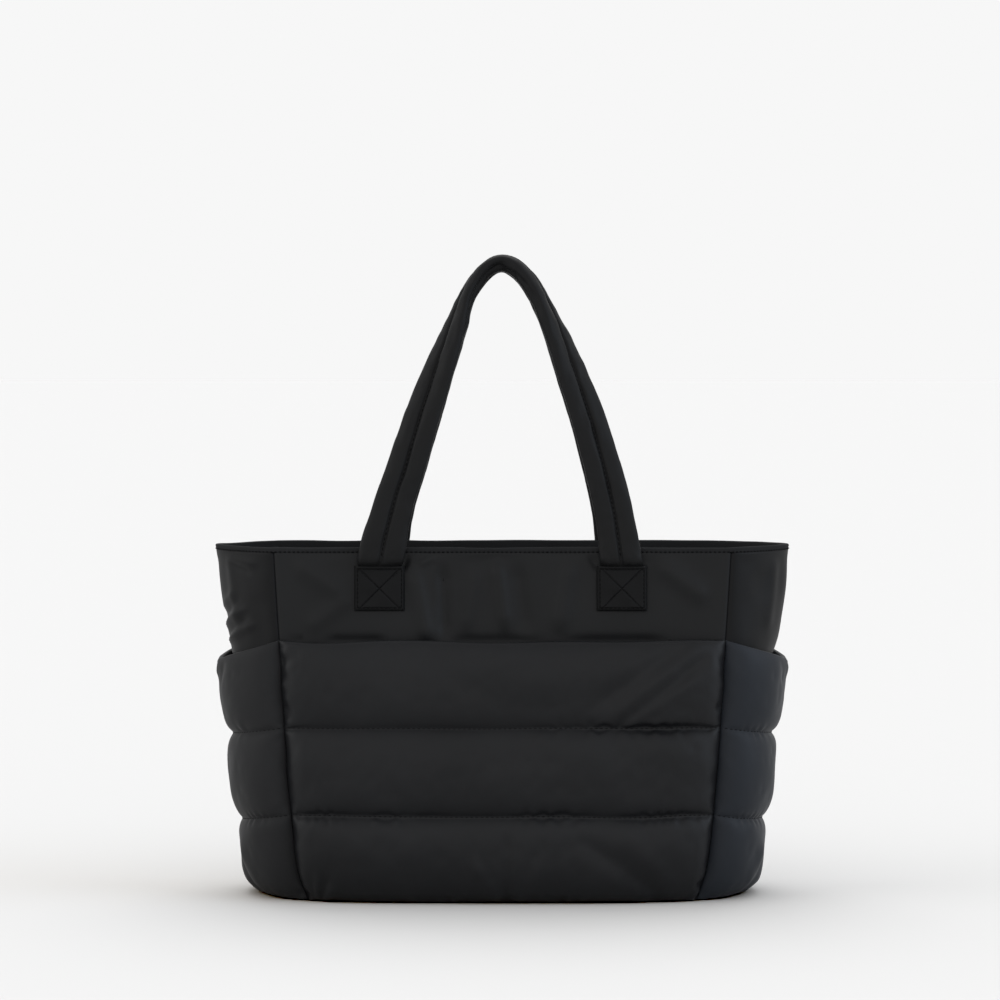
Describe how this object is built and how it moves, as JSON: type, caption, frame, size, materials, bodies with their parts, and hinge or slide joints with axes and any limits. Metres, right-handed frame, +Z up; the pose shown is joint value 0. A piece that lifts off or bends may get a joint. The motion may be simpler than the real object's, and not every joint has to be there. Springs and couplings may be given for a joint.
{
  "type": "nylon tote bag",
  "caption": "Quilted nylon tote bag, empty and standing, with padded handles, an open mouth, a quilted front pocket and quilted side pockets.",
  "frame": {"origin": "centre of the underside of the base panel, on the surface that the bag stands on", "axes": "+X along the mouth, towards the right of the picture; -Y out of the front, where the front pocket is; +Z up, towards the handles"},
  "size_m": [0.4508, 0.1645, 0.503],
  "materials": {
    "plain_nylon": "black woven nylon with a soft sheen",
    "quilted_nylon": "black woven nylon, padded and stitched into channels, with a soft sheen",
    "strap_nylon": "black woven nylon over padding, with a stitched centre line",
    "patch_nylon": "matt black woven nylon, stitched round its edge and across"
  },
  "bodies": {
    "root": {"base_panel": "plain_nylon", "front_wall": "plain_nylon", "back_wall": "quilted_nylon", "rim_hem": "plain_nylon", "front_pocket": "quilted_nylon", "left_gusset": "plain_nylon", "left_pocket": "quilted_nylon", "front_left_patch": "patch_nylon", "back_left_patch": "patch_nylon", "right_gusset": "plain_nylon", "right_pocket": "quilted_nylon", "front_right_patch": "patch_nylon", "back_right_patch": "patch_nylon", "front_handle": "strap_nylon", "back_handle": "strap_nylon"}
  },
  "joints": []
}
